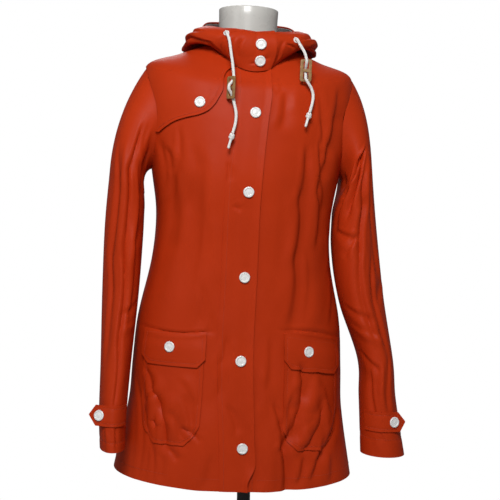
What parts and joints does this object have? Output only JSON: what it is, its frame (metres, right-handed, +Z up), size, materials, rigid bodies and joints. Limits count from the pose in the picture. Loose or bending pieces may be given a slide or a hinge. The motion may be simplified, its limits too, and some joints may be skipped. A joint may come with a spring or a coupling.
{
  "type": "hooded raincoat on dress form",
  "caption": "Hooded thigh-length raincoat with storm flap, snapped placket, flap pockets and draw cords, worn by a limbless dress form on a pole stand.",
  "frame": {"origin": "centre of the stand base's underside, on the floor", "axes": "+Z up, -Y the way the coat faces, +X the wearer's left"},
  "size_m": [0.5551, 0.36, 1.4778],
  "materials": {
    "cloth": "smooth coated cloth with a soft sheen",
    "lining": "grey melange jersey",
    "snap": "white glossy cap",
    "eyelet": "white ring",
    "cord": "braided white cord",
    "toggle": "tan leather-look tab",
    "form": "off-white gloss",
    "stand": "black"
  },
  "bodies": {
    "root": {"front_right": "cloth", "front_left": "cloth", "back": "cloth", "placket": "cloth", "storm_flap": "cloth", "pocket_right": "cloth", "pocket_left": "cloth", "pocket_flap_right": "cloth", "pocket_flap_left": "cloth", "sleeve_right": "cloth", "sleeve_left": "cloth", "cuff_tab_right": "cloth", "cuff_tab_left": "cloth", "hood_right": "cloth", "hood_left": "cloth", "hood_lining_right": "lining", "hood_lining_left": "lining", "front_snap_1": "snap", "front_snap_2": "snap", "front_snap_3": "snap", "front_snap_4": "snap", "front_snap_5": "snap", "collar_snap_1": "snap", "collar_snap_2": "snap", "storm_flap_snap": "snap", "pocket_snap_right": "snap", "pocket_snap_left": "snap", "cuff_snap_right": "snap", "cuff_snap_left": "snap", "eyelet_right": "eyelet", "eyelet_left": "eyelet", "cord_right": "cord", "cord_left": "cord", "cord_tip_right": "cord", "cord_tip_left": "cord", "toggle_right": "toggle", "toggle_left": "toggle", "form_torso": "form", "stand_pole": "stand", "stand_base": "stand"}
  },
  "joints": []
}
